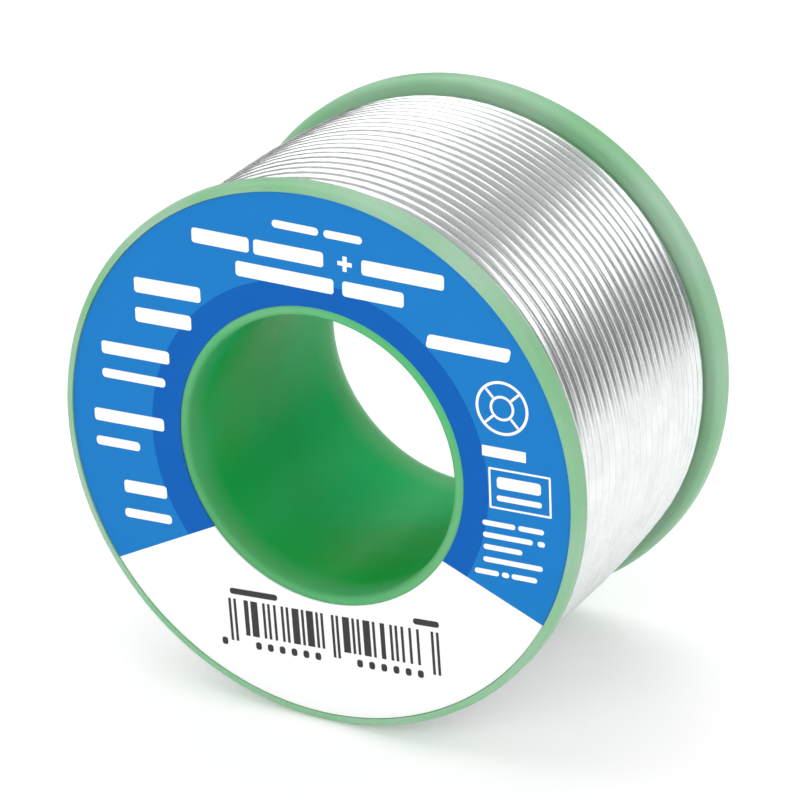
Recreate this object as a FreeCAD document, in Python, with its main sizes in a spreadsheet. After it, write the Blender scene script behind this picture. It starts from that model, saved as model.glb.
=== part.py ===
import FreeCAD, Part
import math
import os
import Sketcher

from FreeCAD import Placement, Rotation, Vector

# Solder wire spool.  The axis is Y, the labelled face looks along -Y, +Z is up and the
# origin is on the axis, midway between the two outer faces.  Lengths are in millimetres.
DIMENSIONS = (
    ("flange_dia", 44.0, "outer diameter of both flanges"),
    ("spool_width", 27.4, "over the outer faces of both rims"),
    ("rim_thick", 2.0, "thickness of each flange at its rim"),
    ("rim_round", 0.6, "rounding of the rims' edges"),
    ("seat_dia", 42.7, "shallow seat for the label in the front face"),
    ("seat_depth", 0.3, "depth of the label's seat"),
    ("sleeve_bore", 22.8, "bore of the rear half's sleeve, for the spindle"),
    ("sleeve_dia", 25.3, "outside of the sleeve, pressed into the drum"),
    ("front_mouth", 0.8, "rounding of the bore's edge at the label"),
    ("rear_mouth", 3.4, "rounding of the bore's flared edge at the rear web"),
    ("drum_dia", 27.9, "outside of the drum that the wire is wound on"),
    ("drum_lead", 0.3, "lead-in chamfer at the open end of the drum"),
    ("web_recess", 1.05, "depth of the rear flange's web below its rim"),
    ("web_dia", 41.9, "diameter of the recessed web"),
    ("label_dia", 42.6, "outer diameter of the label"),
    ("label_hole", 24.3, "hole in the label"),
    ("hole_across", 0.35, "how far the label's hole is off the axis, along X"),
    ("hole_up", 0.3, "and along Z"),
    ("label_thick", 0.12, "thickness of the label"),
    ("wire_dia", 1.0, "solder wire"),
    ("flux_dia", 0.38, "rosin core inside the wire"),
    ("flux_depth", 1.5, "stretch of rosin core behind each cut end"),
    ("coil_edge_dia", 41.6, "outside of the winding beside the flanges"),
    ("coil_crown_dia", 42.7, "outside of the winding at mid width"),
    ("slot_wide", 1.4, "width of the two wire slots"),
    ("slot_long", 3.8, "end to end length of the two wire slots"),
    ("slot_lead", 0.6, "from the wire's entry to the middle of its slot"),
    ("start_radius", 14.7, "radius at which the inner end passes the rear flange"),
    ("start_turn", 150.0, "its angle from +X towards +Z, in degrees"),
    ("free_radius", 20.0, "radius at which the outer end passes the rear flange"),
    ("free_turn", 215.0, "its angle from +X towards +Z, in degrees"),
)

# The loose ends of the wire, from the winding outwards.  Each step says how far the wire
# goes the way it is wound, away from the axis, and along the spool's axis.
START_STEPS = ((-1.45, 0.0, 1.45), (-3.2, 0.4, 0.0), (-2.8, 1.2, 0.0))
FREE_STEPS = ((1.45, 0.0, 1.45), (3.2, -0.5, 0.0), (2.3, -1.9, 0.0))
ARC_REACH = 0.45  # how much of its shorter run a bend's arc takes at each side

FRONT_FACE = "-dims.spool_width / 2"
REAR_FACE = "dims.spool_width / 2"
FRONT_INNER = "-dims.spool_width / 2 + dims.rim_thick"
REAR_INNER = "dims.spool_width / 2 - dims.rim_thick"
SEAT_FACE = "-dims.spool_width / 2 + dims.seat_depth"
WEB_FACE = "dims.spool_width / 2 - dims.web_recess"

doc = FreeCAD.newDocument("solder_spool")
sheet = doc.addObject("Spreadsheet::Sheet", "dims")
for row, (alias, value, meaning) in enumerate(DIMENSIONS, start=1):
    sheet.set(f"A{row}", alias)
    sheet.set(f"B{row}", str(value))
    sheet.set(f"C{row}", meaning)
    sheet.setAlias(f"B{row}", alias)
doc.recompute()


def value_of(expression):
    return float(sheet.evalExpression(expression))


# ---------------------------------------------------------------- turned plastic halves


def new_sketch(body, name, role, turn=0.0):
    """An empty sketch on one of the body's own origin planes, turned in its plane."""
    plane = next(item for item in body.Origin.OriginFeatures if item.Role == role)
    sketch = body.newObject("Sketcher::SketchObject", name)
    sketch.AttachmentSupport = [(plane, "")]
    sketch.MapMode = "FlatFace"
    sketch.AttachmentOffset = Placement(Vector(0, 0, 0), Rotation(Vector(0, 0, 1), turn))
    return sketch


def pin_down(sketch, geometry, end, across, up):
    """Hold one point of the sketch at two expressions measured from its origin."""
    for kind, expression in (("DistanceX", across), ("DistanceY", up)):
        value = value_of(expression)
        place = Sketcher.Constraint(kind, -1, 1, geometry, end, value)
        number = sketch.addConstraint(place)
        sketch.setExpression(f"Constraints[{number}]", expression)


def join_ends(sketch, count):
    """Close the sketch's first count edges into a loop."""
    for index in range(count):
        following = (index + 1) % count
        sketch.addConstraint(Sketcher.Constraint("Coincident", index, 2, following, 1))


def turned_body(name, corners):
    """A body turned about Y from a half section of (along the axis, radius) corners."""
    body = doc.addObject("PartDesign::Body", name)
    body.Label = name
    sketch = new_sketch(body, f"{name}_section", "YZ_Plane")
    points = [Vector(value_of(along), value_of(radius), 0) for along, radius in corners]
    for point, following in zip(points, points[1:] + points[:1]):
        sketch.addGeometry(Part.LineSegment(point, following), False)
    join_ends(sketch, len(points))
    for index, (along, radius) in enumerate(corners):
        pin_down(sketch, index, 1, along, radius)
    turn_about_axis(body, sketch)
    return body


def turn_about_axis(body, sketch):
    turned = body.newObject("PartDesign::Revolution", f"{body.Name}_turned")
    turned.Profile = sketch
    turned.ReferenceAxis = (sketch, ["H_Axis"])
    turned.Angle = 360
    sketch.Visibility = False
    doc.recompute()


def circular_edge(body, along, radius):
    """The name of the body's edge that runs round the axis at this place."""
    for number, edge in enumerate(body.Shape.Edges, start=1):
        if not isinstance(edge.Curve, Part.Circle):
            continue
        level = abs(edge.Curve.Center.y - value_of(along)) < 1e-4
        if level and abs(edge.Curve.Radius - value_of(radius)) < 1e-4:
            return f"Edge{number}"
    raise ValueError(f"{body.Label} has no edge at {along}, {radius}")


def dress_edges(body, kind, name, alias, places):
    """Round or chamfer the circular edges at the given (along, radius) places."""
    base = body.Tip
    edges = [circular_edge(body, along, radius) for along, radius in places]
    feature = body.newObject(f"PartDesign::{kind}", name)
    feature.Base = (base, edges)
    feature.setExpression("Radius" if kind == "Fillet" else "Size", f"dims.{alias}")
    doc.recompute()


def front_half():
    """Front flange with the label's seat, and the drum that the wire is wound on."""
    body = turned_body("front_flange_and_drum", (
        (FRONT_FACE, "dims.seat_dia / 2"),
        (FRONT_FACE, "dims.flange_dia / 2"),
        (FRONT_INNER, "dims.flange_dia / 2"),
        (FRONT_INNER, "dims.drum_dia / 2"),
        (REAR_INNER, "dims.drum_dia / 2"),
        (REAR_INNER, "dims.sleeve_dia / 2"),
        (SEAT_FACE, "dims.sleeve_dia / 2"),
        (SEAT_FACE, "dims.seat_dia / 2"),
    ))
    rim = ((FRONT_FACE, "dims.flange_dia / 2"), (FRONT_INNER, "dims.flange_dia / 2"))
    dress_edges(body, "Fillet", "front_rim_rounding", "rim_round", rim)
    drum_end = ((REAR_INNER, "dims.sleeve_dia / 2"),)
    dress_edges(body, "Chamfer", "drum_lead_in", "drum_lead", drum_end)
    return body


def rear_half():
    """Rear flange with a recessed web, and the sleeve that plugs through the drum."""
    body = turned_body("rear_flange_and_sleeve", (
        (SEAT_FACE, "dims.sleeve_bore / 2"),
        (SEAT_FACE, "dims.sleeve_dia / 2"),
        (REAR_INNER, "dims.sleeve_dia / 2"),
        (REAR_INNER, "dims.flange_dia / 2"),
        (REAR_FACE, "dims.flange_dia / 2"),
        (REAR_FACE, "dims.web_dia / 2"),
        (WEB_FACE, "dims.web_dia / 2"),
        (WEB_FACE, "dims.sleeve_bore / 2"),
    ))
    rim = ((REAR_INNER, "dims.flange_dia / 2"), (REAR_FACE, "dims.flange_dia / 2"))
    dress_edges(body, "Fillet", "rear_rim_rounding", "rim_round", rim)
    mouth = ((SEAT_FACE, "dims.sleeve_bore / 2"),)
    dress_edges(body, "Fillet", "front_mouth_rounding", "front_mouth", mouth)
    flare = ((WEB_FACE, "dims.sleeve_bore / 2"),)
    dress_edges(body, "Fillet", "rear_mouth_rounding", "rear_mouth", flare)
    cut_wire_slot(body, "start_slot", "start", "dims.slot_lead")
    cut_wire_slot(body, "free_slot", "free", "-dims.slot_lead")
    return body


def cut_wire_slot(body, name, end, middle):
    """An obround slot through the rear web, along the way the wire is wound."""
    turn = value_of(f"dims.{end}_turn") - 90
    sketch = new_sketch(body, f"{name}_outline", "XZ_Plane", turn)
    reach = "(dims.slot_long - dims.slot_wide) / 2"
    radius = value_of(f"dims.{end}_radius")
    half = value_of("dims.slot_wide / 2")
    left = Vector(value_of(f"{middle} - {reach}"), radius, 0)
    right = Vector(value_of(f"{middle} + {reach}"), radius, 0)
    rise = Vector(0, half, 0)
    run = Vector(half, 0, 0)
    sketch.addGeometry(Part.LineSegment(right + rise, left + rise), False)
    sketch.addGeometry(Part.Arc(left + rise, left - run, left - rise), False)
    sketch.addGeometry(Part.LineSegment(left - rise, right - rise), False)
    sketch.addGeometry(Part.Arc(right - rise, right + run, right + rise), False)
    for index in range(4):
        following = (index + 1) % 4
        sketch.addConstraint(Sketcher.Constraint("Tangent", index, 2, following, 1))
    for index, across in ((1, f"{middle} - {reach}"), (3, f"{middle} + {reach}")):
        pin_down(sketch, index, 3, across, f"dims.{end}_radius")
        number = sketch.addConstraint(Sketcher.Constraint("Radius", index, half))
        sketch.setExpression(f"Constraints[{number}]", "dims.slot_wide / 2")
    before = body.Shape.Volume
    pocket = body.newObject("PartDesign::Pocket", name)
    pocket.Profile = sketch
    pocket.Type = "ThroughAll"
    sketch.Visibility = False
    doc.recompute()
    web_thick = value_of(f"{WEB_FACE} - ({REAR_INNER})")
    expected = Part.Face(Part.Wire(sketch.Shape.Edges)).Area * web_thick
    if abs(before - body.Shape.Volume - expected) > 0.05 * expected:
        raise ValueError(f"{name} removed {before - body.Shape.Volume:.2f} mm3")


# ---------------------------------------------------------------- winding and label


def winding():
    """The outer shape of the wire on the drum, full between the flanges and crowned."""
    body = doc.addObject("PartDesign::Body", "wire_winding")
    body.Label = "wire_winding"
    sketch = new_sketch(body, "winding_section", "YZ_Plane")
    front, rear = value_of(FRONT_INNER), value_of(REAR_INNER)
    drum, edge = value_of("dims.drum_dia / 2"), value_of("dims.coil_edge_dia / 2")
    crown = value_of("dims.coil_crown_dia / 2")
    corners = [Vector(rear, edge, 0), Vector(rear, drum, 0)]
    corners += [Vector(front, drum, 0), Vector(front, edge, 0)]
    sketch.addGeometry(Part.Arc(corners[0], Vector(0, crown, 0), corners[3]), False)
    # FreeCAD keeps arcs anticlockwise, so this one starts at the rear flange.
    for point, following in ((3, 2), (2, 1), (1, 0)):
        line = Part.LineSegment(corners[point], corners[following])
        sketch.addGeometry(line, False)
    join_ends(sketch, 4)
    for index, along, radius in (
        (1, FRONT_INNER, "dims.coil_edge_dia / 2"),
        (2, FRONT_INNER, "dims.drum_dia / 2"),
        (3, REAR_INNER, "dims.drum_dia / 2"),
    ):
        pin_down(sketch, index, 1, along, radius)
    pin_down(sketch, 0, 1, REAR_INNER, "dims.coil_edge_dia / 2")
    half = f"({REAR_INNER})"
    rise = "((dims.coil_crown_dia - dims.coil_edge_dia) / 2)"
    radius = f"({half} * {half} + {rise} * {rise}) / (2 * {rise})"
    number = sketch.addConstraint(Sketcher.Constraint("Radius", 0, value_of(radius)))
    sketch.setExpression(f"Constraints[{number}]", radius)
    turn_about_axis(body, sketch)
    return body


def label_disc(name, diameter):
    """A cylinder along Y, as thick as the label and level with it."""
    cylinder = doc.addObject("Part::Cylinder", name)
    cylinder.setExpression("Radius", f"{diameter} / 2")
    cylinder.setExpression("Height", "dims.label_thick")
    cylinder.Placement = Placement(Vector(), Rotation(Vector(0, 0, 1), Vector(0, 1, 0)))
    cylinder.setExpression("Placement.Base.y", f"{SEAT_FACE} - dims.label_thick")
    return cylinder


def cut_from(name, base, tool):
    cut = doc.addObject("Part::Cut", name)
    cut.Base = base
    cut.Tool = tool
    cut.Label = name
    return cut


def face_label():
    """The thin printed disc on the front face, its hole a little off centre."""
    plate = label_disc("label_plate", "dims.label_dia")
    hole = label_disc("label_opening", "dims.label_hole")
    hole.setExpression("Placement.Base.x", "dims.hole_across")
    hole.setExpression("Placement.Base.z", "dims.hole_up")
    return cut_from("face_label", plate, hole)


# ---------------------------------------------------------------- loose ends of the wire


def tail_points(end, steps):
    """The corners of a loose end's route, first where it leaves the winding."""
    turn = math.radians(value_of(f"dims.{end}_turn"))
    outwards = Vector(math.cos(turn), 0, math.sin(turn))
    wound = Vector(-math.sin(turn), 0, math.cos(turn))
    axis = Vector(0, 1, 0)
    point = outwards * value_of(f"dims.{end}_radius") + axis * value_of(REAR_INNER)
    points = [point]
    for ahead, out, along in steps:
        point = point + wound * ahead + outwards * out + axis * along
        points.append(point)
    return points


def rounded_route(name, points):
    """Straight runs joined by tangent arcs, one arc at each inner corner."""
    edges = []
    start = points[0]
    for before, corner, after in zip(points, points[1:], points[2:]):
        way_in = Vector(corner - before).normalize()
        way_out = Vector(after - corner).normalize()
        half_turn = way_in.getAngle(way_out) / 2
        reach = ARC_REACH * min((corner - before).Length, (after - corner).Length)
        radius = reach / math.tan(half_turn)
        inwards = Vector(way_out - way_in).normalize()
        middle = corner + inwards * radius * (1 / math.cos(half_turn) - 1)
        first, last = corner - way_in * reach, corner + way_out * reach
        edges.append(Part.LineSegment(start, first).toShape())
        edges.append(Part.Arc(first, middle, last).toShape())
        start = last
        print(f"{name}: bend of {math.degrees(2 * half_turn):.0f} deg, radius {radius:.2f}")
    edges.append(Part.LineSegment(start, points[-1]).toShape())
    route = doc.addObject("Part::Feature", name)
    route.Shape = Part.Wire(edges)
    return route


def loose_end(end, steps):
    """One end of the wire and the rosin core that shows in its cut face."""
    points = tail_points(end, steps)
    way_in = Vector(points[1] - points[0]).normalize()
    inside = points[0] - way_in * value_of("dims.wire_dia")
    route = rounded_route(f"{end}_route", [inside] + points[1:])

    ring = doc.addObject("Part::Circle", f"{end}_ring")
    ring.setExpression("Radius", "dims.wire_dia / 2")
    ring.Placement = Placement(inside, Rotation(Vector(0, 0, 1), way_in))
    tube = doc.addObject("Part::Sweep", f"{end}_tube")
    tube.Sections = [ring]
    tube.Spine = (route, [f"Edge{n + 1}" for n in range(len(route.Shape.Edges))])
    tube.Solid = True
    doc.recompute()
    expected = route.Shape.Length * math.pi * value_of("dims.wire_dia / 2") ** 2
    if abs(tube.Shape.Volume - expected) > 0.01 * expected:
        raise ValueError(f"{end} tube has {tube.Shape.Volume:.2f} mm3, not {expected:.2f}")

    # The tube is cut off level with the winding's end face.
    block = doc.addObject("Part::Box", f"{end}_trim")
    for side in ("Length", "Height"):
        block.setExpression(side, "dims.flange_dia")
    block.setExpression("Width", "dims.rim_thick * 2")
    corner = Vector(-1, 0, -1) * value_of("dims.flange_dia / 2")
    block.Placement = Placement(corner, Rotation())
    block.setExpression("Placement.Base.y", f"{REAR_INNER} - dims.rim_thick * 2")
    solid_wire = cut_from(f"{end}_wire", tube, block)

    way_back = Vector(points[-2] - points[-1]).normalize()
    aim = Rotation(Vector(0, 0, 1), way_back)
    pieces = []
    for purpose in ("channel", "core"):
        rod = doc.addObject("Part::Cylinder", f"flux_{purpose}_{end}")
        rod.setExpression("Radius", "dims.flux_dia / 2")
        rod.setExpression("Height", "dims.flux_depth")
        rod.Placement = Placement(points[-1], aim)
        pieces.append(rod)
    return cut_from(f"wire_{end}_end", solid_wire, pieces[0]), pieces[1]


# ---------------------------------------------------------------- build, check and write

subparts = [front_half(), rear_half(), winding(), face_label()]
subparts += loose_end("start", START_STEPS)
subparts += loose_end("free", FREE_STEPS)

doc.recompute()
for item in doc.Objects:
    if "Invalid" in item.State or "Error" in item.State:
        raise RuntimeError(f"{item.Label} failed: {item.State}")
for part in subparts:
    if part.Shape.isNull() or not part.Shape.isValid():
        raise RuntimeError(f"{part.Label} has no valid shape")

os.makedirs("parts", exist_ok=True)
for part in subparts:
    part.Shape.exportStep(f"parts/{part.Label}.step")
    print(f"{part.Label}: {part.Shape.Volume:.1f} mm3, {len(part.Shape.Solids)} solid")
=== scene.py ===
import math
import random

import bmesh
import bpy
from mathutils import Euler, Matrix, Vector


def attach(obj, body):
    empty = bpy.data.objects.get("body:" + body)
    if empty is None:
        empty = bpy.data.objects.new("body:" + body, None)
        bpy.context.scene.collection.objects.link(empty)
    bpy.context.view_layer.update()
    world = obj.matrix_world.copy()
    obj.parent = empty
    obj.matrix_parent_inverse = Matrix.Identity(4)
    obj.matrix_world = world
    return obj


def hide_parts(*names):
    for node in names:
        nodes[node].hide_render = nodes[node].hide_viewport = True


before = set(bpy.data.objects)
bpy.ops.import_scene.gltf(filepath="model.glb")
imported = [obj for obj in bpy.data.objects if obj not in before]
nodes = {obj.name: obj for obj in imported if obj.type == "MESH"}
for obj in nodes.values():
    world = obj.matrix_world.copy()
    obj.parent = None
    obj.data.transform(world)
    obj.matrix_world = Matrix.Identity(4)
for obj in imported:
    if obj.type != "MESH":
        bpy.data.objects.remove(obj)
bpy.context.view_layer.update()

random.seed(44)

MM = 0.001
BODY = "reel"

# The reel's sizes in millimetres.  A face is given by its distance from the middle.
FLANGE_RADIUS = 22.0
OUTER_FACE = 13.7
INNER_FACE = 11.7
SEAT_RADIUS = 21.35
SEAT_FACE = 13.4
DRUM_RADIUS = 13.95
SLEEVE_RADIUS = 12.65
BORE_RADIUS = 11.4
WEB_RADIUS = 20.95
WEB_FACE = 12.65
START_RADIUS = 14.7  # where the wire's two ends pass the rear flange
FREE_RADIUS = 20.0
START_TURN = 150.0  # their angles from +X towards +Z, in degrees
FREE_TURN = 215.0

scene = bpy.context.scene


def wheel(radius, turn, along):
    """A point at a radius and an angle from +X towards +Z, in degrees."""
    angle = math.radians(turn)
    return Vector((radius * math.cos(angle), along, radius * math.sin(angle)))


def smooth(x):
    x = min(max(x, 0.0), 1.0)
    return x * x * (3 - 2 * x)


def new_piece(name, data, material):
    """An object in the reel's frame, with its material."""
    piece = bpy.data.objects.new(name, data)
    scene.collection.objects.link(piece)
    data.materials.append(material)
    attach(piece, BODY)
    return piece


# ---------------------------------------------------------------- camera

camera = bpy.data.objects.new("camera", bpy.data.cameras.new("camera"))
scene.collection.objects.link(camera)
camera.location = (0.14429, -0.27202, 0.13886)
camera.rotation_euler = Euler((math.radians(90 - 24.34), 0, math.radians(27.94)))
camera.data.lens = 195.9
camera.data.clip_start = 0.01
scene.camera = camera
scene.view_settings.view_transform = "Standard"


# ---------------------------------------------------------------- materials


def new_material(name, colour, roughness, metallic=0.0):
    """A node material; its Principled shader holds the values that don't vary."""
    made = bpy.data.materials.new(name)
    made.use_nodes = True
    shader = made.node_tree.nodes["Principled BSDF"]
    shader.inputs["Base Color"].default_value = (*colour, 1)
    shader.inputs["Roughness"].default_value = roughness
    shader.inputs["Metallic"].default_value = metallic
    return made, made.node_tree, shader


def node(tree, kind, inputs=(), **settings):
    """A shader node with its settings, and its inputs linked or set by name or number."""
    made = tree.nodes.new(kind)
    for key, value in settings.items():
        setattr(made, key, value)
    for key, value in dict(inputs).items():
        if isinstance(value, bpy.types.NodeSocket):
            tree.links.new(value, made.inputs[key])
        else:
            made.inputs[key].default_value = value
    return made


def math_node(tree, operation, first, second=0.0, third=0.0):
    values = {0: first, 1: second, 2: third}
    return node(tree, "ShaderNodeMath", values, operation=operation).outputs[0]


def place(tree):
    """The surface point in the reel's frame, in millimetres, and its three numbers."""
    where = node(tree, "ShaderNodeTexCoord").outputs["Object"]
    scaled = node(tree, "ShaderNodeVectorMath", {0: where, 3: 1000.0}, operation="SCALE")
    parts = node(tree, "ShaderNodeSeparateXYZ", {0: scaled.outputs[0]})
    return scaled.outputs[0], parts.outputs[0], parts.outputs[1], parts.outputs[2]


def noise(tree, vector, scale, detail=3.0, roughness=0.5):
    inputs = {"Vector": vector, "Scale": scale, "Detail": detail, "Roughness": roughness}
    return node(tree, "ShaderNodeTexNoise", inputs).outputs[0]


def ranged(tree, value, low, high, to_low, to_high):
    inputs = {0: value, 1: low, 2: high, 3: to_low, 4: to_high}
    return node(tree, "ShaderNodeMapRange", inputs).outputs[0]


def mix(tree, factor, first, second):
    """Mix of two colours; each is a socket or a plain colour."""
    made = node(tree, "ShaderNodeMix", {"Factor": factor}, data_type="RGBA")
    for number, colour in ((6, first), (7, second)):
        if isinstance(colour, bpy.types.NodeSocket):
            tree.links.new(colour, made.inputs[number])
        else:
            made.inputs[number].default_value = (*colour, 1)
    return made.outputs[2]


def bump(tree, shader, height, strength, distance):
    inputs = {"Height": height, "Strength": strength, "Distance": distance}
    made = node(tree, "ShaderNodeBump", inputs)
    tree.links.new(made.outputs[0], shader.inputs["Normal"])


def link(tree, socket, shader, name):
    tree.links.new(socket, shader.inputs[name])


def solder_material():
    made, tree, shader = new_material("solder", (0.78, 0.80, 0.80), 0.25, 1.0)
    run = node(tree, "ShaderNodeUVMap", uv_map="run").outputs[0]
    drawn = node(tree, "ShaderNodeMapping", {0: run, 3: (0.3, 12.0, 1.0)}).outputs[0]
    lines = noise(tree, drawn, 3.0, 4.0, 0.6)
    where = place(tree)[0]
    dull = noise(tree, where, 0.5, 4.0, 0.6)
    tone = mix(tree, ranged(tree, dull, 0.35, 0.7, 0, 1), (0.82, 0.84, 0.84), (0.73, 0.75, 0.75))
    link(tree, tone, shader, "Base Color")
    rough = math_node(tree, "ADD", ranged(tree, lines, 0.3, 0.7, 0.18, 0.28),
                      ranged(tree, dull, 0.4, 0.75, 0.0, 0.05))
    link(tree, rough, shader, "Roughness")
    bump(tree, shader, lines, 0.2, 0.01 * MM)
    return made


def rosin_material():
    made, tree, shader = new_material("rosin", (0.62, 0.38, 0.10), 0.3)
    where = place(tree)[0]
    grain = noise(tree, where, 6.0)
    link(tree, mix(tree, grain, (0.70, 0.44, 0.13), (0.48, 0.26, 0.06)), shader, "Base Color")
    link(tree, ranged(tree, grain, 0.3, 0.7, 0.22, 0.42), shader, "Roughness")
    shader.inputs["Subsurface Weight"].default_value = 0.3
    shader.inputs["Subsurface Scale"].default_value = 0.2 * MM
    return made


def reel_material():
    made, tree, shader = new_material("reel_plastic", (0.2, 0.46, 0.23), 0.37)
    where, across, along, up = place(tree)
    out = math_node(tree, "SQRT", math_node(tree, "ADD", math_node(tree, "POWER", across, 2.0),
                                            math_node(tree, "POWER", up, 2.0)))
    # Base colour by place: paler on the flanges and towards both ends of the bore, deep green
    # inside. The pale bands at the bore's two mouths are painted light, where light falls into
    # the bore. The flanges' paler tone is partly the thin plastic's own colour and partly
    # painted light shining through it.
    flange = ranged(tree, out, 12.6, 15.0, 0, 1)
    lit_rear_mouth = ranged(tree, along, 7.0, 11.8, 0, 0.8)
    lit_front_mouth = ranged(tree, along, -10.0, -13.2, 0, 0.45)
    thin_and_lit_mask = math_node(tree, "MAXIMUM", flange, math_node(tree, "MAXIMUM", lit_rear_mouth, lit_front_mouth))
    flow = ranged(tree, noise(tree, where, 0.08, 2.0, 0.5), 0.35, 0.65, 0, 1)
    # The bore's deep, red-free green is painted in place of light bounced between its green
    # walls.
    bounce_saturated = mix(tree, flow, (0.0, 0.40, 0.05), (0.0, 0.47, 0.14))
    light = mix(tree, flow, (0.33, 0.51, 0.37), (0.21, 0.46, 0.24))
    link(tree, mix(tree, thin_and_lit_mask, bounce_saturated, light), shader, "Base Color")
    skin = noise(tree, where, 0.7, 4.0, 0.6)
    link(tree, ranged(tree, skin, 0.3, 0.7, 0.32, 0.42), shader, "Roughness")
    bump(tree, shader, skin, 0.1, 0.01 * MM)
    shader.inputs["Subsurface Weight"].default_value = 0.3
    shader.inputs["Subsurface Scale"].default_value = 1.5 * MM
    shader.inputs["Subsurface Radius"].default_value = (0.3, 1.0, 0.5)
    shader.inputs["Specular IOR Level"].default_value = 0.15
    return made


# The label's printed areas, in millimetres: a dark ring round the hole, and a blank part
# below two lines, each given by its slope and its height on the axis.
RING_ACROSS, RING_UP, RING_RADIUS = 0.15, 0.1, 14.4
BLANK_LEFT = (0.533, -2.8)
BLANK_RIGHT = (-0.405, -1.57)


def label_material():
    made, tree, shader = new_material("label_print", (0.008, 0.185, 0.52), 0.35)
    where, across, along, up = place(tree)
    flow = noise(tree, where, 0.5, 3.0)
    fibre = noise(tree, where, 22.0, 5.0, 0.7)
    blue = mix(tree, flow, (0.006, 0.18, 0.51), (0.009, 0.19, 0.54))
    dark = mix(tree, flow, (0.0, 0.10, 0.42), (0.0, 0.11, 0.45))
    side = math_node(tree, "POWER", math_node(tree, "SUBTRACT", across, RING_ACROSS), 2.0)
    rise = math_node(tree, "POWER", math_node(tree, "SUBTRACT", up, RING_UP), 2.0)
    ring = math_node(tree, "LESS_THAN", math_node(tree, "ADD", side, rise), RING_RADIUS ** 2)
    left = math_node(tree, "MULTIPLY_ADD", across, *BLANK_LEFT)
    right = math_node(tree, "MULTIPLY_ADD", across, *BLANK_RIGHT)
    blank = math_node(tree, "MULTIPLY", math_node(tree, "LESS_THAN", up, left),
                      math_node(tree, "LESS_THAN", up, right))
    colour = mix(tree, blank, mix(tree, ring, blue, dark), (0.93, 0.93, 0.93))
    speck = ranged(tree, fibre, 0.35, 0.65, 0.0, 0.006)
    link(tree, mix(tree, speck, colour, (0.8, 0.85, 0.9)), shader, "Base Color")
    link(tree, ranged(tree, fibre, 0.3, 0.7, 0.28, 0.42), shader, "Roughness")
    bump(tree, shader, fibre, 0.08, 0.01 * MM)
    shader.inputs["Specular IOR Level"].default_value = 0.08
    return made


def ink_material(name, light, dark):
    made, tree, shader = new_material(name, light, 0.35)
    where = place(tree)[0]
    speck = noise(tree, where, 14.0, 4.0, 0.65)
    link(tree, mix(tree, ranged(tree, speck, 0.4, 0.8, 0, 1), light, dark), shader, "Base Color")
    link(tree, ranged(tree, speck, 0.3, 0.7, 0.3, 0.45), shader, "Roughness")
    return made


solder = solder_material()
rosin = rosin_material()
plastic = reel_material()
label = label_material()
white_ink = ink_material("white_ink", (0.93, 0.93, 0.94), (0.86, 0.88, 0.9))
black_ink = ink_material("black_ink", (0.012, 0.011, 0.013), (0.03, 0.028, 0.032))


# ---------------------------------------------------------------- the wire's line

WIRE = 1.0 * MM
LAYERS = 8
TURNS = 22
STEPS = 16  # control points in a turn
FIRST_RADIUS = 14.45 * MM  # centre of the first layer's wire
EDGE_RADIUS = 20.3 * MM  # and of the outer layer's, beside the flanges
CROWN = 0.55 * MM  # how much further out it runs at mid width
REACH = 11.2 * MM  # from the middle to the last turn beside a flange
CLIMB = 0.6  # share of a turn in which the wire climbs to the next layer
START_GAP = 14  # degrees from each slot to where the turns begin or end
FREE_GAP = 12
DRIFT_ASIDE = 0.02 * MM  # how far a control point may stray from the one before
DRIFT_OUT = 0.01 * MM
DRIFT_LOSS = 0.1  # share of the strayed distance that is lost at each point
INSIDE = 0.38  # how far a loose end's first point lies inside the winding, in first steps
POINTS_IN_SPAN = 5  # points read from the spline for each control point

# The loose ends, from the flange's inner face outwards: ahead the way the wire is wound,
# away from the axis and along it, in millimetres.
START_STEPS = ((-1.45, 0.0, 1.45), (-3.2, 0.4, 0.0), (-2.8, 1.2, 0.0))
FREE_STEPS = ((1.45, 0.0, 1.45), (3.2, -0.5, 0.0), (2.3, -1.9, 0.0))


def loose_end(radius, turn, steps):
    """A loose end's corners, from the one in the winding to the tip."""
    outwards, ahead = wheel(1, turn, 0), wheel(1, turn + 90, 0)
    slot = wheel(radius, turn, INNER_FACE * MM)
    corners = []
    point = slot
    for forward, out, along in steps:
        point = point + (ahead * forward + outwards * out + Vector((0, along, 0))) * MM
        corners.append(point)
    inside = slot + (slot - corners[0]) * INSIDE
    return [inside] + corners


def layer_radius(layer, along):
    """Radius of the wire's centre in a layer, counted from 0 at the drum."""
    outer = EDGE_RADIUS + CROWN * (1 - (along / (INNER_FACE * MM)) ** 2)
    return FIRST_RADIUS + (outer - FIRST_RADIUS) * layer / (LAYERS - 1)


def winding_points():
    """Control points of all the turns, from the drum's rear end outwards."""
    swell = 1 / math.cos(math.pi / STEPS)  # the spline runs inside its control points
    first = START_TURN + START_GAP
    sweep = (LAYERS * TURNS - 1) * 360 + (FREE_TURN - FREE_GAP - first) % 360
    count = LAYERS * TURNS * STEPS
    aside = lift = 0.0
    points = []
    for index in range(count + 1):
        turns = index / STEPS
        layer = min(int(turns / TURNS), LAYERS - 1)
        side = 1 if layer % 2 == 0 else -1
        along = side * REACH * (1 - 2 * (turns / TURNS - layer))
        step = min(max(round(turns / TURNS), 1), LAYERS - 1)
        climbed = smooth((turns - step * TURNS) / CLIMB + 0.5)
        lower, upper = layer_radius(step - 1, along), layer_radius(step, along)
        aside += random.uniform(-DRIFT_ASIDE, DRIFT_ASIDE) - aside * DRIFT_LOSS
        lift += random.uniform(-DRIFT_OUT, DRIFT_OUT) - lift * DRIFT_LOSS
        along = min(max(along + aside, -REACH), REACH)
        radius = lower + climbed * (upper - lower) + lift
        points.append(wheel(radius * swell, first + sweep * index / count, along))
    return points


start_end = loose_end(START_RADIUS * MM, START_TURN, START_STEPS)
free_end = loose_end(FREE_RADIUS * MM, FREE_TURN, FREE_STEPS)
route = start_end[::-1] + winding_points() + free_end

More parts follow.
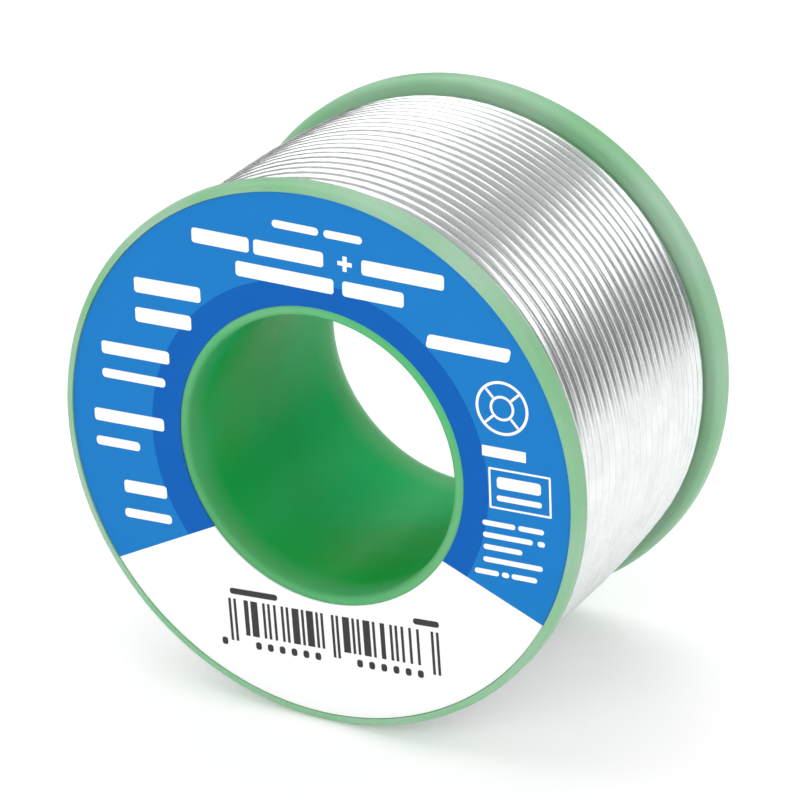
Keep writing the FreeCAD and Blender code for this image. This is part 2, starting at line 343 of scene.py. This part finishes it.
line = bpy.data.curves.new("wire_line", "CURVE")
line.dimensions = "3D"
line.resolution_u = POINTS_IN_SPAN
spline = line.splines.new("NURBS")
spline.points.add(len(route) - 1)
for point, corner in zip(spline.points, route):
    point.co = (*corner, 1)
spline.order_u = 3
spline.use_endpoint_u = True
guide = bpy.data.objects.new("wire_line", line)
line_mesh = bpy.data.meshes.new_from_object(guide)
path = [vertex.co.copy() for vertex in line_mesh.vertices]
bpy.data.objects.remove(guide)
bpy.data.meshes.remove(line_mesh)


# ---------------------------------------------------------------- the wire

CORE = 0.2 * MM  # radius of the channel that the rosin core shows in
CORE_DEPTH = 1.5 * MM
FINE, COARSE = 12, 6  # sides of the wire's section, seen and buried
SHARP_CUT = 70  # degrees between faces that shows as an edge, at the wire's cut ends


def buried(index):
    """Whether this point of the line lies under the outer layer."""
    first = POINTS_IN_SPAN * (len(start_end) + STEPS // 2)
    last = POINTS_IN_SPAN * (len(start_end) + (LAYERS - 1) * TURNS * STEPS - STEPS)
    return first < index < last


def wire_rings():
    """The wire's cross-sections: middle, direction, distance along it, sides and radius."""
    rings = []
    travelled = 0.0
    for index, point in enumerate(path):
        if index:
            travelled += (point - path[index - 1]).length
        if buried(index) and index % 2:
            continue
        before = path[max(index - 1, 0)]
        after = path[min(index + 1, len(path) - 1)]
        sides = COARSE if buried(index) else FINE
        # The section has the area of a round wire's.
        girth = WIRE / 2 * math.sqrt(math.pi / (sides / 2 * math.sin(2 * math.pi / sides)))
        rings.append((point, (after - before).normalized(), travelled, sides, girth))
    start, finish = rings[0], rings[-1]
    rings.insert(0, (start[0], start[1], 0.0, FINE, CORE))
    rings.insert(0, (start[0] + start[1] * CORE_DEPTH, start[1], 0.0, FINE, CORE))
    rings.append((finish[0], finish[1], travelled, FINE, CORE))
    rings.append((finish[0] - finish[1] * CORE_DEPTH, finish[1], travelled, FINE, CORE))
    return rings


def ring_points(centre, forward, sides, radius):
    """Points of one cross-section, beginning with the one furthest from the axis."""
    out = Vector((0, 1, 0)).cross(forward).normalized()
    beside = forward.cross(out)
    angles = [2 * math.pi * side / sides for side in range(sides)]
    return [centre + (out * math.cos(angle) + beside * math.sin(angle)) * radius
            for angle in angles]


def joining_faces(base, ahead, here, there, u, v):
    """Faces between two rings, and the faces' places on the wire, for its "run" map.

    base and ahead are the rings' first points, here and there their numbers of sides, and
    u and v their distances along the wire.  One ring may have twice the sides of the other;
    its spare points go in the long edges.
    """
    sides = min(here, there)
    for side in range(sides):
        other = (side + 1) % sides
        low, high = side / sides, (side + 1) / sides
        if here == there:
            face = (base + side, base + other, ahead + other, ahead + side)
            run = ((u, low), (u, high), (v, high), (v, low))
        elif here < there:
            middle = ahead + 2 * side + 1
            last = ahead + (2 * side + 2) % there
            face = (base + side, base + other, last, middle, ahead + 2 * side)
            run = ((u, low), (u, high), (v, high), (v, (low + high) / 2), (v, low))
        else:
            middle = base + 2 * side + 1
            last = base + (2 * side + 2) % here
            face = (base + 2 * side, middle, last, ahead + other, ahead + side)
            run = ((u, low), (u, (low + high) / 2), (u, high), (v, high), (v, low))
        yield face, run


def wire_mesh():
    """A tube along the line, with a channel for the rosin core in each cut face."""
    rings = wire_rings()
    points, starts = [], []
    for centre, forward, _, sides, radius in rings:
        starts.append(len(points))
        points += ring_points(centre, forward, sides, radius)
    faces, runs = [], []
    for number in range(len(rings) - 1):
        ring, following = rings[number], rings[number + 1]
        joined = joining_faces(starts[number], starts[number + 1], ring[3], following[3],
                               ring[2] / MM, following[2] / MM)
        for face, run in joined:
            faces.append(face)
            runs.append(run)
    for number, forwards in ((0, True), (len(rings) - 1, False)):
        cap = tuple(starts[number] + side for side in range(FINE))
        faces.append(cap[::-1] if forwards else cap)
        runs.append(tuple((0.0, side / FINE) for side in range(FINE)))
    mesh = bpy.data.meshes.new("solder_wire")
    mesh.from_pydata(points, [], faces)
    layer = mesh.uv_layers.new(name="run")
    flat = [number for face in runs for corner in face for number in corner]
    layer.data.foreach_set("uv", flat)
    mesh.shade_smooth()
    mesh.set_sharp_from_angle(angle=math.radians(SHARP_CUT))
    return mesh


wire = new_piece("solder_wire", wire_mesh(), solder)
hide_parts("wire_winding", "wire_start_end", "wire_free_end")
for name in ("flux_core_start", "flux_core_free"):
    nodes[name].data.materials.clear()
    nodes[name].data.materials.append(rosin)


# ---------------------------------------------------------------- the two plastic halves

ROUND_STEPS = 8  # in a rounded corner
AROUND = 240  # steps round the axis
SHOULDER = 0.03  # flat strip beside a rounding, which keeps the faces looking flat
SLOT_END = 0.7  # radius of a slot's round ends
SLOT_STRAIGHT = 1.2  # and half the distance between their centres
SLOT_LEAD = 0.6  # from the wire's entry to the middle of its slot
SLOT_STEPS = 48
SLOT_MIDDLE = 12.2  # along the axis, about half way through the web
SHARP_SLOT = 35  # degrees between faces that shows as an edge


def rounded_section(corners):
    """Points of a closed half section whose corners (along, radius, rounding) are rounded."""
    points = []
    count = len(corners)
    for index, (along, out, rounding) in enumerate(corners):
        corner = Vector((along, out))
        before = Vector(corners[index - 1][:2]) - corner
        after = Vector(corners[(index + 1) % count][:2]) - corner
        way_in, way_out = before.normalized(), after.normalized()
        points.append(corner + way_in * (rounding + SHOULDER))
        for step in range(ROUND_STEPS + 1):
            turn = math.pi / 2 * step / ROUND_STEPS
            points.append(corner + way_in * rounding * (1 - math.sin(turn))
                          + way_out * rounding * (1 - math.cos(turn)))
        points.append(corner + way_out * (rounding + SHOULDER))
    return points


def turned_mesh(name, corners):
    section = rounded_section(corners)
    points = []
    for step in range(AROUND):
        for along, out in section:
            points.append(wheel(out * MM, 360 * step / AROUND, along * MM))
    size = len(section)
    faces = []
    for step in range(AROUND):
        here, there = step * size, (step + 1) % AROUND * size
        for index in range(size):
            other = (index + 1) % size
            faces.append((here + index, here + other, there + other, there + index))
    mesh = bpy.data.meshes.new(name)
    mesh.from_pydata(points, [], faces)
    shape = bmesh.new()
    shape.from_mesh(mesh)
    bmesh.ops.recalc_face_normals(shape, faces=shape.faces)
    shape.to_mesh(mesh)
    shape.free()
    mesh.shade_smooth()
    return mesh


def cut_wire_slot(piece, turn, radius, lead):
    """An obround slot through the rear web, along the way the wire is wound."""
    middle = wheel(radius * MM, turn, SLOT_MIDDLE * MM)
    outwards, ahead = wheel(1, turn, 0), wheel(1, turn + 90, 0)
    outline = []
    for step in range(SLOT_STEPS):
        angle = 2 * math.pi * step / SLOT_STEPS
        end = SLOT_STRAIGHT if math.cos(angle) > 0 else -SLOT_STRAIGHT
        reach = lead + SLOT_END * math.cos(angle) + end
        outline.append(middle + (ahead * reach + outwards * SLOT_END * math.sin(angle)) * MM)
    shape = bmesh.new()
    face = shape.faces.new([shape.verts.new(point - Vector((0, MM, 0))) for point in outline])
    grown = bmesh.ops.extrude_face_region(shape, geom=[face])["geom"]
    moved = [item for item in grown if isinstance(item, bmesh.types.BMVert)]
    bmesh.ops.translate(shape, verts=moved, vec=(0, 2 * MM, 0))
    bmesh.ops.recalc_face_normals(shape, faces=shape.faces)
    mesh = bpy.data.meshes.new("slot_cutter")
    shape.to_mesh(mesh)
    shape.free()
    cutter = bpy.data.objects.new("slot_cutter", mesh)
    scene.collection.objects.link(cutter)
    cut = piece.modifiers.new("slot", "BOOLEAN")
    cut.operation = "DIFFERENCE"
    cut.solver = "EXACT"
    cut.object = cutter
    bpy.context.view_layer.update()
    ready = piece.evaluated_get(bpy.context.evaluated_depsgraph_get())
    result = bpy.data.meshes.new_from_object(ready)
    piece.modifiers.clear()
    piece.data = result
    bpy.data.objects.remove(cutter)
    result.set_sharp_from_angle(angle=math.radians(SHARP_SLOT))


# Each half's section, as corners: along the axis, radius and rounding.
FRONT_SECTION = (
    (-OUTER_FACE, SEAT_RADIUS, 0.08),
    (-OUTER_FACE, FLANGE_RADIUS, 0.5),
    (-INNER_FACE, FLANGE_RADIUS, 0.6),
    (-INNER_FACE, DRUM_RADIUS, 0.1),
    (INNER_FACE, DRUM_RADIUS, 0.1),
    (INNER_FACE, SLEEVE_RADIUS, 0.3),
    (-SEAT_FACE, SLEEVE_RADIUS, 0.05),
    (-SEAT_FACE, SEAT_RADIUS, 0.05),
)
REAR_SECTION = (
    (-SEAT_FACE, BORE_RADIUS, 0.8),
    (-SEAT_FACE, SLEEVE_RADIUS, 0.1),
    (INNER_FACE, SLEEVE_RADIUS, 0.05),
    (INNER_FACE, FLANGE_RADIUS, 0.6),
    (OUTER_FACE, FLANGE_RADIUS, 0.6),
    (OUTER_FACE, WEB_RADIUS, 0.15),
    (WEB_FACE, WEB_RADIUS, 0.15),
    (WEB_FACE, BORE_RADIUS, 3.4),
)

front = new_piece("front_half", turned_mesh("front_half", FRONT_SECTION), plastic)
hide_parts("front_flange_and_drum")

rear = new_piece("rear_half", turned_mesh("rear_half", REAR_SECTION), plastic)
cut_wire_slot(rear, START_TURN, START_RADIUS, SLOT_LEAD)
cut_wire_slot(rear, FREE_TURN, FREE_RADIUS, -SLOT_LEAD)
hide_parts("rear_flange_and_sleeve")

nodes["face_label"].data.materials.clear()
nodes["face_label"].data.materials.append(label)


# ---------------------------------------------------------------- printing on the label

LABEL_FACE = -13.52  # along the axis
INK = 0.02  # thickness of the printing
CORNER_STEPS = 6
CIRCLE_STEPS = 64

# Each mark: middle across and up, width, height, rounding of its corners, tilt and slant
# in degrees.
WHITE_MARKS = (
    (-1.55, 18.55, 3.9, 0.62, 0.3, 0, 0), (2.45, 18.55, 3.2, 0.62, 0.3, 0, 0),
    (-7.95, 16.35, 4.9, 1.2, 0.25, 0.5, 0), (-2.15, 16.4, 5.9, 1.2, 0.25, 0.5, 0),
    (7.4, 16.5, 6.8, 1.2, 0.25, 0.5, 0),
    (-2.5, 14.4, 8.3, 1.2, 0.25, 0.5, 0), (4.95, 14.5, 5.1, 1.2, 0.25, 0.5, 0),
    (-12.65, 11.4, 5.8, 1.25, 0.25, 2, 0), (-13.05, 8.95, 4.9, 1.2, 0.25, 2, 0),
    (-15.6, 5.65, 6.0, 1.05, 0.25, 2, 0), (-15.8, 3.5, 5.6, 0.75, 0.3, 2, 0),
    (-16.3, -0.1, 6.2, 1.05, 0.25, 2.5, 0), (-17.35, -2.35, 3.9, 0.75, 0.3, 2.5, 0),
    (-15.0, -5.75, 3.8, 1.05, 0.25, 3, 0), (-14.8, -8.0, 4.2, 0.75, 0.3, 3, 0),
    (12.8, 11.8, 6.8, 1.1, 0.3, 1, 12),
    (15.8, 4.0, 3.6, 0.85, 0.05, 2, 0),
    (17.05, 1.65, 3.6, 0.95, 0.25, 2.5, 0), (17.1, 0.4, 3.7, 0.45, 0.2, 2.5, 0),
    (15.45, -1.85, 2.7, 0.42, 0.2, 2.5, 0), (18.1, -1.73, 2.1, 0.42, 0.2, 2.5, 0),
    (16.2, -2.8, 4.1, 0.42, 0.2, 2.5, 0), (18.95, -2.68, 0.6, 0.42, 0.2, 2.5, 0),
    (15.8, -3.8, 3.2, 0.42, 0.2, 2.5, 0),
    (16.65, -4.8, 4.9, 0.42, 0.2, 2.5, 0),
    (14.5, -5.95, 2.0, 0.42, 0.2, 2.5, 0), (16.05, -5.88, 0.6, 0.42, 0.2, 2.5, 0),
    (17.6, -5.8, 2.1, 0.42, 0.2, 2.5, 0),
)
PLUS = (2.6, 16.45)  # the plus sign's middle
FRAME = (17.15, 1.15)  # and the frame's
FRAME_TILT = 2.5
REEL_SIGN = (15.6, 7.6)  # and that of the pictogram of a reel seen from its end
BAR_TILT = 4.3  # of the bar pattern, which starts at BAR_ORIGIN
BAR_ORIGIN = (-7.8, -13.4)


def rounded_box(middle, width, height, rounding, tilt=0.0, slant=0.0):
    """Outline of a printed block with rounded corners."""
    turn, lean = math.radians(tilt), math.tan(math.radians(slant))
    outline = []
    for corner, (side, rise) in enumerate(((1, 1), (-1, 1), (-1, -1), (1, -1))):
        for step in range(CORNER_STEPS + 1):
            angle = math.pi / 2 * (corner + step / CORNER_STEPS)
            x = side * (width / 2 - rounding) + rounding * math.cos(angle)
            z = rise * (height / 2 - rounding) + rounding * math.sin(angle)
            x += z * lean
            outline.append((middle[0] + x * math.cos(turn) - z * math.sin(turn),
                            middle[1] + x * math.sin(turn) + z * math.cos(turn)))
    return outline


def circle(middle, radius):
    angles = [2 * math.pi * step / CIRCLE_STEPS for step in range(CIRCLE_STEPS)]
    return [(middle[0] + radius * math.cos(angle), middle[1] + radius * math.sin(angle))
            for angle in angles]


def loop_of(shape, outline, proud):
    return [shape.verts.new(Vector((x, LABEL_FACE - proud, z)) * MM) for x, z in outline]


def mark(shape, outline):
    """A printed block, standing proud of the label by the thickness of its ink."""
    front, back = loop_of(shape, outline, INK), loop_of(shape, outline, 0)
    shape.faces.new(front)
    shape.faces.new(back[::-1])
    wall(shape, front, back)


def wall(shape, here, there):
    for index in range(len(here)):
        other = (index + 1) % len(here)
        shape.faces.new((here[other], here[index], there[index], there[other]))


def band(shape, outer, inner):
    """A printed line between two outlines of as many points."""
    loops = [loop_of(shape, outer, 0), loop_of(shape, outer, INK),
             loop_of(shape, inner, INK), loop_of(shape, inner, 0)]
    for index in range(4):
        wall(shape, loops[index], loops[(index + 1) % 4])


def printed(name, shape, ink):
    bmesh.ops.recalc_face_normals(shape, faces=shape.faces)
    mesh = bpy.data.meshes.new(name)
    shape.to_mesh(mesh)
    shape.free()
    new_piece(name, mesh, ink)


white = bmesh.new()
for x, z, wide, high, rounding, tilt, slant in WHITE_MARKS:
    mark(white, rounded_box((x, z), wide, high, rounding, tilt, slant))
arm, reach = 0.17, 0.6
mark(white, [(PLUS[0] + x, PLUS[1] + z) for x, z in (
    (arm, arm), (arm, reach), (-arm, reach), (-arm, arm), (-reach, arm), (-reach, -arm),
    (-arm, -arm), (-arm, -reach), (arm, -reach), (arm, -arm), (reach, -arm), (reach, arm))])
band(white, rounded_box(FRAME, 5.1, 3.3, 0.1, FRAME_TILT),
     rounded_box(FRAME, 4.78, 2.98, 0.05, FRAME_TILT))
band(white, circle(REEL_SIGN, 2.15), circle(REEL_SIGN, 1.93))
band(white, circle(REEL_SIGN, 1.0), circle(REEL_SIGN, 0.8))
spoke_middle = (1.0 + 1.93) / 2
for turn in (45, 135, 225, 315):
    spot = (REEL_SIGN[0] + spoke_middle * math.cos(math.radians(turn)),
            REEL_SIGN[1] + spoke_middle * math.sin(math.radians(turn)))
    mark(white, rounded_box(spot, 0.88, 0.2, 0.05, turn))
printed("label_white_print", white, white_ink)


black = bmesh.new()


def bar(across, up, wide, high, rounding):
    """A block of the bar pattern, which runs uphill to the right."""
    turn = math.radians(BAR_TILT)
    spot = (BAR_ORIGIN[0] + across * math.cos(turn) - up * math.sin(turn),
            BAR_ORIGIN[1] + across * math.sin(turn) + up * math.cos(turn))
    mark(black, rounded_box(spot, wide, high, rounding, BAR_TILT))


bars = random.Random(7)
for start, stop in ((1.35, 8.7), (10.0, 16.6)):
    across = start
    while across < stop:
        wide = bars.choice((0.22, 0.22, 0.38, 0.6))
        bar(across + wide / 2, -1.5, wide, 3.0, 0.02)
        across += wide + bars.choice((0.22, 0.3, 0.45))
for across in (0.1, 0.55, 9.15, 9.55, 17.75, 18.2):
    bar(across, -1.8, 0.22, 3.6, 0.02)
bar(2.3, 0.65, 4.2, 0.5, 0.22)
bar(17.3, 0.65, 2.2, 0.5, 0.22)
bar(-0.6, -3.75, 0.5, 0.62, 0.2)
for start in (2.4, 11.3):
    for step in range(6):
        bar(start + 1.05 * step, -3.75, 0.5, 0.62, 0.2)
printed("label_black_print", black, black_ink)


# ---------------------------------------------------------------- stage and light

FLOOR_SIDE = 6.0
floor_level = -FLANGE_RADIUS * MM
floor_corners = [(x * FLOOR_SIDE / 2, y * FLOOR_SIDE / 2, floor_level)
                 for x, y in ((-1, -1), (1, -1), (1, 1), (-1, 1))]
floor_mesh = bpy.data.meshes.new("floor")
floor_mesh.from_pydata(floor_corners, [], [(0, 1, 2, 3)])
floor = bpy.data.objects.new("floor", floor_mesh)
scene.collection.objects.link(floor)
floor_finish, _, floor_shader = new_material("floor", (0.84, 0.84, 0.84), 0.7)
floor_shader.inputs["Emission Color"].default_value = (1, 1, 1, 1)
floor_shader.inputs["Emission Strength"].default_value = 0.2
floor_mesh.materials.append(floor_finish)

# The studio is white to the camera, half as bright as a source of light, and greyer towards
# the floor where the wire and the plastic reflect it.
world = bpy.data.worlds.new("studio")
scene.world = world
world.use_nodes = True
sky = world.node_tree
ray = node(sky, "ShaderNodeLightPath")
direction = node(sky, "ShaderNodeTexCoord").outputs["Generated"]
height = node(sky, "ShaderNodeSeparateXYZ", {0: direction}).outputs[2]
reflected = ranged(sky, height, 0.30, 0.45, 0.20, 0.55)
lighting = math_node(sky, "MULTIPLY", ray.outputs["Is Diffuse Ray"], 0.55)
seen = math_node(sky, "MAXIMUM", ray.outputs["Is Camera Ray"], lighting)
strength = math_node(sky, "MAXIMUM", seen, reflected)
sky.links.new(strength, sky.nodes["Background"].inputs[1])
sky.nodes["Background"].inputs[0].default_value = (1, 1, 1, 1)


PANEL_DISTANCE = 0.7


def panel(name, turn, lift, width, height, radiance):
    """A soft panel aimed at the reel; turn is from +Y towards +X, lift above the floor."""
    light = bpy.data.lights.new(name, "AREA")
    light.shape = "RECTANGLE"
    light.size, light.size_y = width, height
    light.energy = radiance * math.pi * width * height
    lamp = bpy.data.objects.new(name, light)
    scene.collection.objects.link(lamp)
    turn, lift = math.radians(turn), math.radians(lift)
    aim = Vector((math.sin(turn) * math.cos(lift),
                  math.cos(turn) * math.cos(lift), math.sin(lift)))
    lamp.location = aim * PANEL_DISTANCE
    lamp.rotation_euler = aim.to_track_quat("Z", "Y").to_euler()
    return lamp


panel("right_panel", 78, 44, 1.3, 0.32, 1.35)
panel("left_panel", -58, 58, 0.95, 0.85, 1.2)
panel("side_panel", 122, 10, 0.22, 0.3, 0.9)
# It lights the label and the bore, without a bright line along every turn of the wire.
panel("front_panel", 175, 30, 0.35, 0.35, 3.9).visible_glossy = False
